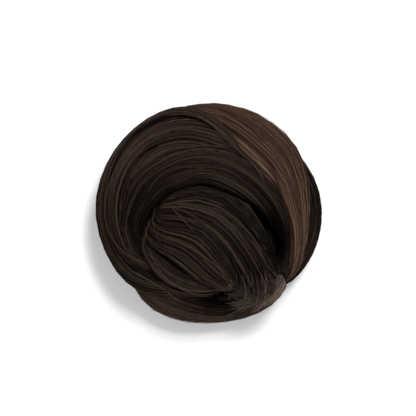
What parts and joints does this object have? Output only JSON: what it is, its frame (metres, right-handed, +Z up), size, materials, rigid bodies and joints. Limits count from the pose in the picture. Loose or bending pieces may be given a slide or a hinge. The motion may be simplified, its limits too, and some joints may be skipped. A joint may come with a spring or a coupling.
{
  "type": "top knot hairpiece",
  "caption": "False hair coiled into a round swirled bun: broad locks wrap round a fanned knot, over a hollow cap with a small comb inside its rim.",
  "frame": {"origin": "centre of the bounding box's bottom face, on the surface that the bun stands on", "axes": "+X to the right of the swirl as worn face on, +Y to its upper side, +Z up out of the cap through the knot"},
  "size_m": [0.1122, 0.1078, 0.0593],
  "materials": {
    "knot_hair": "smooth dark brown false hair, soft sheen",
    "bright_hair": "smooth mid brown false hair, soft sheen",
    "ridge_hair": "smooth dark brown false hair, soft sheen",
    "dark_hair": "smooth very dark brown false hair, soft sheen",
    "cap_cloth": "matt dark brown woven cloth",
    "comb_plastic": "smooth dark brown plastic"
  },
  "bodies": {
    "root": {"knot_fan": "knot_hair", "knot_outer": "knot_hair", "knot_inner": "knot_hair", "knot_low": "knot_hair", "bright_wrap": "bright_hair", "left_wrap": "ridge_hair", "inner_wrap": "dark_hair", "middle_wrap": "dark_hair", "tail_curl": "knot_hair", "right_wrap": "dark_hair", "front_wrap": "dark_hair", "back_wrap": "dark_hair", "base_cap": "cap_cloth", "side_comb": "comb_plastic"}
  },
  "joints": []
}
